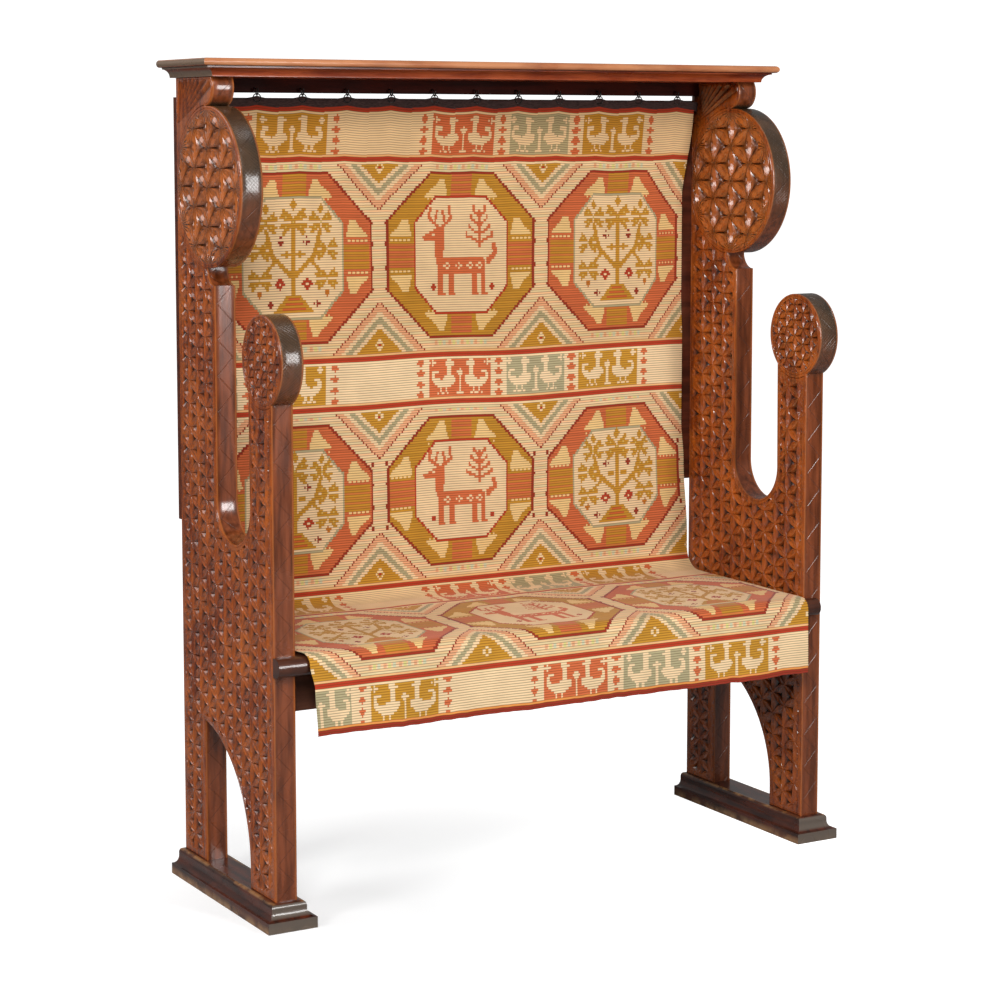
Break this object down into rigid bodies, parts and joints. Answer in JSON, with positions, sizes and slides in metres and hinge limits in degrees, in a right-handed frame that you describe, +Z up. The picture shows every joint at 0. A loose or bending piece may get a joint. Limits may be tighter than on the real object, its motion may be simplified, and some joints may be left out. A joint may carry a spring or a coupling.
{
  "type": "settle bench",
  "caption": "High-backed settle with chip-carved plank sides, moulded feet and shelf, plank seat, and a woven cover hung from hooks over back and seat.",
  "frame": {"origin": "on the floor, in the middle of the overall width and depth", "axes": "+Z up, +Y to the back, +X to the right seen from the front; the sitter faces -Y"},
  "size_m": [1.225, 0.4561, 1.5],
  "materials": {
    "carved_side_wood": "stained and varnished, satin, chip carved",
    "foot_wood": "stained and varnished, satin, worn lower edge",
    "shelf_wood": "stained and varnished, satin",
    "seat_wood": "stained and varnished, satin",
    "rail_wood": "stained, satin",
    "back_wood": "plain, lightly stained",
    "dowel_wood": "plain",
    "iron_nail": "dull",
    "black_iron": "dull black",
    "woven_cloth": "ribbed weave, matt",
    "tape_cloth": "woven tape, matt"
  },
  "bodies": {
    "root": {"left_side_panel": "carved_side_wood", "right_side_panel": "carved_side_wood", "left_foot": "foot_wood", "right_foot": "foot_wood", "cornice_shelf": "shelf_wood", "shelf_dowels": "dowel_wood", "hanging_rail": "rail_wood", "back_board_1": "back_wood", "back_board_2": "back_wood", "back_board_3": "back_wood", "back_board_4": "back_wood", "back_nails": "iron_nail", "seat_front_plank": "seat_wood", "seat_middle_plank": "seat_wood", "seat_rear_plank": "seat_wood", "seat_front_rail": "rail_wood", "seat_rear_rail": "rail_wood", "seat_bearer": "rail_wood", "left_seat_cleat": "rail_wood", "right_seat_cleat": "rail_wood", "cleat_screws": "iron_nail", "woven_cover": "woven_cloth", "header_tape": "tape_cloth", "hooks": "black_iron", "curtain_rings": "black_iron"}
  },
  "joints": []
}
